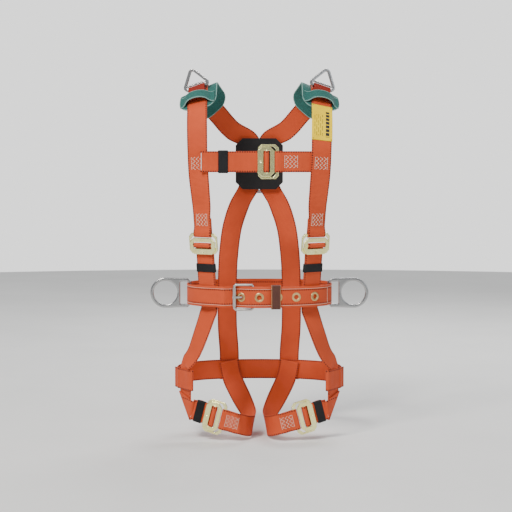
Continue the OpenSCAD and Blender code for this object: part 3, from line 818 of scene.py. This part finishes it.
bandMesh("belt_keeper", bodyOf["belt_keeper_slide"], "belt_keeper_slide", [leather, tan], False)
soften("belt_buckle_loop", beltWeave, hardware["loopEdge"])
print("hardware made")


pads = {"width": 86 * mm, "thickness": 3 * mm, "corner": 30 * mm, "notch": 11 * mm, "notchWidth": 15 * mm,
        "rim": 1.2 * mm, "crown": 9 * mm, "piping": 1.25 * mm, "columns": 15, "rows": 60, "fill": 0.5}


def padMesh(name, node):
    # a crowned pad with round corners, notched at the neck end, and piping round its edge
    strip = Strip(*ribbonRings(node, pads["thickness"], pads["width"]), 3 * mm, pads["thickness"])
    total = strip.run[-1]
    half = pads["width"] / 2 - pads["rim"]
    gaps = pads["columns"] - 1
    cols = [math.sin(math.pi / 2 * (i / gaps * 2 - 1)) for i in range(gaps + 1)]
    rows, crown = pads["rows"], pads["crown"]
    verts, uvs, index = [], [], {}
    frontFirst = strip.mid[0][1] < strip.mid[-1][1]
    for layer in (1, -1):
        for i in range(rows + 1):
            for j, c in enumerate(cols):
                x = c * half
                r = pads["corner"]
                d = max(0.0, abs(x) - (half - r))
                cut = r - math.sqrt(max(0.0, r * r - d * d))
                notch = pads["notch"] * math.exp(-(x / pads["notchWidth"]) ** 2)
                lo = cut + (notch if frontFirst else 0)
                hi = total - cut - (0 if frontFirst else notch)
                w = i / rows
                run = lo + (hi - lo) * w
                near = min(1.0, (half - abs(x)) / crown, (run - lo) / crown, (hi - run) / crown)
                near = max(0.0, near)
                puff = math.sqrt(max(0.0, 1 - (1 - near) ** 2))
                lift = layer * (0.5 * mm + (pads["thickness"] / 2 - 0.5 * mm) * puff)
                index[(layer, i, j)] = len(verts)
                verts.append(strip.at(run, x, lift))
                uvs.append((x, run))
    faces = []
    last = len(cols) - 1
    for i in range(rows):
        for j in range(last):
            a, b, c, d = ((i, j), (i + 1, j), (i + 1, j + 1), (i, j + 1))
            faces.append([index[(1, *k)] for k in (a, b, c, d)])
            faces.append([index[(-1, *k)] for k in (d, c, b, a)])
    rim = [(i, 0) for i in range(rows)] + [(rows, j) for j in range(last)] + \
          [(i, last) for i in range(rows, 0, -1)] + [(0, j) for j in range(last, 0, -1)]
    for a, b in zip(rim, rim[1:] + rim[:1]):
        faces.append([index[(1, *a)], index[(1, *b)], index[(-1, *b)], index[(-1, *a)]])
    obj = meshObject(name, verts, faces, uvs)
    outwardFaces(obj)
    obj.data.materials.append(teal)
    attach(obj, "webbing")
    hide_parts(node)
    piping = Tubes(8)
    ring = [(verts[index[(1, *k)]] + verts[index[(-1, *k)]]) / 2 for k in rim]
    piping.add(ring + [ring[0]], pads["piping"])
    piping.build(name + "_piping", tealEdge)


for side in ("right", "left"):
    padMesh(side + "_pad_cover", side + "_shoulder_pad")
print("pads made")

for side in ("right", "left"):
    bridge = bridges[side]
    total = bridge.run[-1]
    flare = 1 + padBridge["flare"] * np.abs(bridge.run / total * 2 - 1) ** 3
    bridge.half = bridge.half * flare[:, None]
    piece = stripMesh(side + "_pad_bridge", bridge, teal)
    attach(piece, "webbing")
    rim = Tubes(8)
    wide = np.linalg.norm(bridge.half, axis=1)
    for e in (-1, 1):
        rim.add([m + unit(h) * e * w for m, h, w in zip(bridge.mid, bridge.half, wide)], pads["piping"])
    rim.build(side + "_bridge_piping", tealEdge)
print("bridges made")

# places of the load-bearing seams, outward from the middle and up, in mm
seams = {"front": ((131, 288), (121, 166)), "leg": (62, -266), "back": (69, -195), "chest": (66, 290)}
threads = Tubes(5)
front, back = (0, -1, 0), (0, 1, 0)
for side, sx in (("right", -1), ("left", 1)):
    strap = strips[side + "_shoulder_strap"]
    leg = strips[side + "_leg_strap"]
    for x, z in seams["front"]:
        at = outermost(strap, (sx * x * mm, -0.1, z * mm), front)
        sewnPatch(threads, strap, at, strap.side(at, front))
    x, z = seams["leg"]
    at = outermost(leg, (sx * x * mm, -0.1, z * mm), front)
    sewnPatch(threads, leg, at, leg.side(at, front), True)
    x, z = seams["back"]
    at = outermost(strap, (sx * x * mm, 0.12, z * mm), back)
    sewnPatch(threads, strap, at, strap.side(at, back))
short = strips["chest_strap_short"]
x, z = seams["chest"]
at = outermost(short, (x * mm, -0.1, z * mm), front)
sewnPatch(threads, short, at, short.side(at, front), True)
threads.build("seam_threads", cream)

hemming = {"half": 19 * mm, "inset": 1.6 * mm, "lift": 0.2 * mm, "radius": 0.85 * mm,
           "hipInset": 2 * mm, "hipHalf": 18 * mm}
hems = Tubes(6)
tail = strips["chest_strap"]
lift = tail.side(0, front) * (tail.thick / 2 + hemming["lift"])
across = np.linspace(-hemming["half"], hemming["half"], 9)
hems.add([tail.at(hemming["inset"], x, lift) for x in across], hemming["radius"])
for side in ("right", "left"):
    hip = strips[side + "_hip_strap"]
    for s0 in (hemming["hipInset"], hip.run[-1] - hemming["hipInset"]):
        for face in (1, -1):
            stitchPath(hems, hip, [(s0, -hemming["hipHalf"]), (s0, hemming["hipHalf"])], face)
hems.build("hem_threads", threadMaterial("threadWhite", (0.85, 0.82, 0.78)))

beltSeams = {"offset": 17.6 * mm, "half": 17 * mm, "first": 2 * mm, "even": 30 * mm, "marks": 40}
beltThreads = Tubes(5)
face = beltStrip.side(beltStrip.nearest((0.1, -0.09, 0), before=beltStrip.run[-1] * 0.5), front)
for x in (-beltSeams["offset"], beltSeams["offset"]):
    last = beltStrip.run[-1] - beltSeams["first"]
    marks = [beltSeams["first"], *np.linspace(beltSeams["even"], last, beltSeams["marks"])]
    stitchPath(beltThreads, beltStrip, [(r, x) for r in marks], face)
for s0 in (3 * mm, beltStrip.run[-1] - 4 * mm):
    stitchPath(beltThreads, beltStrip, [(s0, -beltSeams["half"]), (s0, beltSeams["half"])], face)
beltThreads.build("belt_threads", cream)
print("sewing made")


def labelMaterial():
    g = Graph("labelYellow", (0.9, 0.72, 0.02), 0.6, spec=0.15)
    u, v = g.uv()
    def stripe(value, low, high):
        return g.math("MULTIPLY", g.math("GREATER_THAN", value, low), g.math("LESS_THAN", value, high))
    def both(a, b):
        return g.math("MULTIPLY", a, b)
    def share(value, pitch):
        return g.math("FRACT", g.math("DIVIDE", value, pitch))
    # one row of heavy blocks beside fine broken lines
    linePitch = 4.2 * mm
    block = g.math("GREATER_THAN", share(v, 9.2 * mm), 0.22)
    bold = both(stripe(u, 8 * mm, 16 * mm), both(block, stripe(v, 8 * mm, 72 * mm)))
    lines = g.math("LESS_THAN", share(u, linePitch), 0.22)
    lineNumber = g.math("FLOOR", g.math("DIVIDE", u, linePitch))
    along = g.math("MULTIPLY_ADD", lineNumber, 0.37, g.math("DIVIDE", v, 17 * mm))
    breaks = g.math("GREATER_THAN", g.math("FRACT", along), 0.3)
    fine = both(both(lines, breaks), both(stripe(u, -18 * mm, 4 * mm), stripe(v, 10 * mm, 62 * mm)))
    ink = g.math("MAXIMUM", bold, fine)
    yellow = g.mix(g.span(g.noise(30, 3), 0.3, 0.7), (0.86, 0.58, 0.002), (0.95, 0.68, 0.006))
    g.colour(g.mix(ink, yellow, (0.03, 0.03, 0.035)))
    g.bump(g.noise(400, 3), 0.15, 0.0003)
    return g.material


labelSize = {"width": 46 * mm, "top": 415 * mm, "bottom": 335 * mm, "thickness": 0.8 * mm,
             "lift": 0.75 * mm, "seamInset": 3 * mm, "seamOffset": 20 * mm, "side": 134 * mm}
host = strips["left_shoulder_strap"]
ends = [outermost(host, (labelSize["side"], -0.1, labelSize[k]), front) for k in ("top", "bottom")]
s0, s1 = min(ends), max(ends)
face = host.side((s0 + s1) / 2, front)
lift = face * (thick / 2 + labelSize["lift"])
tag = host.layer(s0, s1, labelSize["width"], lift, labelSize["thickness"])
piece = stripMesh("label_tag", tag, labelMaterial())
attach(piece, "webbing")
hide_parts("label")
tagThreads = Tubes(5)
topFace = 1 if tag.normal[3] @ np.array(front) > 0 else -1
for r in (labelSize["seamInset"], tag.run[-1] - labelSize["seamInset"]):
    for x in (-labelSize["seamOffset"], labelSize["seamOffset"]):
        stitchLine(tagThreads, tag, (r, x - 1.5 * mm), (r, x + 1.5 * mm), topFace, 0.6 * mm)
tagThreads.build("label_threads", threadMaterial("threadDark", (0.03, 0.03, 0.03)))
print("label made")

crossbar = {"height": 8.2 * mm, "radius": 2.1 * mm, "inset": 3 * mm}
for side in ("right", "left"):
    node = side + "_shoulder_ring"
    pts = np.vstack(lumps(node))
    pivot, axis = placeOf(node + "_swing"), unit(axisOf(node + "_swing"))
    off = pts - pivot
    off -= np.outer(off @ axis, axis)
    up = unit(off[np.argmax(np.linalg.norm(off, axis=1))])
    height = crossbar["height"]
    near = pts[np.abs((pts - pivot) @ up - height) < 3 * mm]
    reach = np.abs((near - pivot) @ axis).max() - crossbar["inset"]
    bar = Tubes(20)
    bar.add([pivot + up * height + axis * x for x in np.linspace(-reach, reach, 12)], crossbar["radius"])
    piece = bar.build(side + "_ring_crossbar", steel, bodyOf[node + "_swing"])
print("ring bars made")

view = {"from": (-0.0075, -3.3, 0.294), "to": (-0.0075, 0, 0.0815), "lens": 105}
cam = bpy.data.cameras.new("camera")
camera = bpy.data.objects.new("camera", cam)
bpy.context.scene.collection.objects.link(camera)
bpy.context.scene.camera = camera
cam.lens, cam.sensor_width = view["lens"], 36
camera.location = view["from"]
aim = Vector(view["to"]) - camera.location
camera.rotation_euler = aim.to_track_quat("-Z", "Y").to_euler()

studio = {"floorRadius": 5, "floorGap": 2 * mm, "backdrop": (3.2, 3.2, 3.18),
          "worldStrength": 0.5, "sunPower": 1.5}
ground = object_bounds()[0][2] - studio["floorGap"]
floorMesh = bpy.data.meshes.new("floor")
bm = bmesh.new()
bmesh.ops.create_circle(bm, cap_ends=True, segments=96, radius=studio["floorRadius"],
                        matrix=Matrix.Translation((0, 0, ground)))
bm.to_mesh(floorMesh)
bm.free()
floor = bpy.data.objects.new("floor", floorMesh)
bpy.context.scene.collection.objects.link(floor)
fg = Graph("floorPale", (0.74, 0.74, 0.73), 0.8, spec=0.2)
fg.colour(fg.mix(fg.span(fg.noise(3, 3), 0.3, 0.7), (0.72, 0.72, 0.71), (0.76, 0.76, 0.75)))
floorMesh.materials.append(fg.material)

world = bpy.data.worlds.new("studio")
world.use_nodes = True
sky = world.node_tree
ramp = sky.nodes.new("ShaderNodeValToRGB")
height = sky.nodes.new("ShaderNodeSeparateXYZ")
sky.links.new(sky.nodes.new("ShaderNodeTexCoord").outputs["Generated"], height.inputs[0])
shift = sky.nodes.new("ShaderNodeMapRange")
sky.links.new(height.outputs[2], shift.inputs[0])
shift.inputs[1].default_value, shift.inputs[2].default_value = -1, 1
sky.links.new(shift.outputs[0], ramp.inputs[0])
# height share and brightness, darkest just below the horizon so that the steel has something to mirror
bandsOfSky = [(0.0, 0.45), (0.4, 0.35), (0.46, 0.14), (0.49, 0.75),
              (0.55, 1.0), (0.64, 0.35), (0.76, 1.0), (1.0, 1.2)]
while len(ramp.color_ramp.elements) < len(bandsOfSky):
    ramp.color_ramp.elements.new(0.5)
for element, (spot, value) in zip(ramp.color_ramp.elements, bandsOfSky):
    element.position = spot
    element.color = (value * 0.97, value, value * 1.04, 1)
plain = sky.nodes.new("ShaderNodeMix")
plain.data_type = "RGBA"
sky.links.new(sky.nodes.new("ShaderNodeLightPath").outputs["Is Camera Ray"], plain.inputs["Factor"])
sky.links.new(ramp.outputs[0], plain.inputs[6])
plain.inputs[7].default_value = (*studio["backdrop"], 1)
sky.links.new(plain.outputs[2], sky.nodes["Background"].inputs[0])
sky.nodes["Background"].inputs[1].default_value = studio["worldStrength"]
bpy.context.scene.world = world


def areaLight(name, place, target, size, power, colour=(1, 1, 1)):
    # a rectangular lamp that looks at its target
    data = bpy.data.lights.new(name, "AREA")
    data.shape, data.size, data.size_y = "RECTANGLE", size[0], size[1]
    data.energy, data.color = power, colour
    lamp = bpy.data.objects.new(name, data)
    bpy.context.scene.collection.objects.link(lamp)
    lamp.location = place
    lamp.rotation_euler = (Vector(target) - Vector(place)).to_track_quat("-Z", "Y").to_euler()


areaLight("key", (-1.3, -2.0, 2.3), (0, 0, 0.1), (0.7, 0.7), 70, (1, 0.96, 0.9))
areaLight("fill", (2.2, -2.0, 0.9), (0, 0, 0.1), (1.6, 1.6), 14, (0.9, 0.95, 1))
areaLight("rim", (0.8, 2.1, 1.9), (0, 0, 0.2), (1.2, 0.8), 55)
sun = bpy.data.lights.new("sun", "SUN")
sun.energy, sun.angle, sun.color = studio["sunPower"], math.radians(25), (1, 0.98, 0.95)
sunLamp = bpy.data.objects.new("sun", sun)
bpy.context.scene.collection.objects.link(sunLamp)
sunLamp.rotation_euler = (math.radians(42), 0, math.radians(-28))
print("stage made")
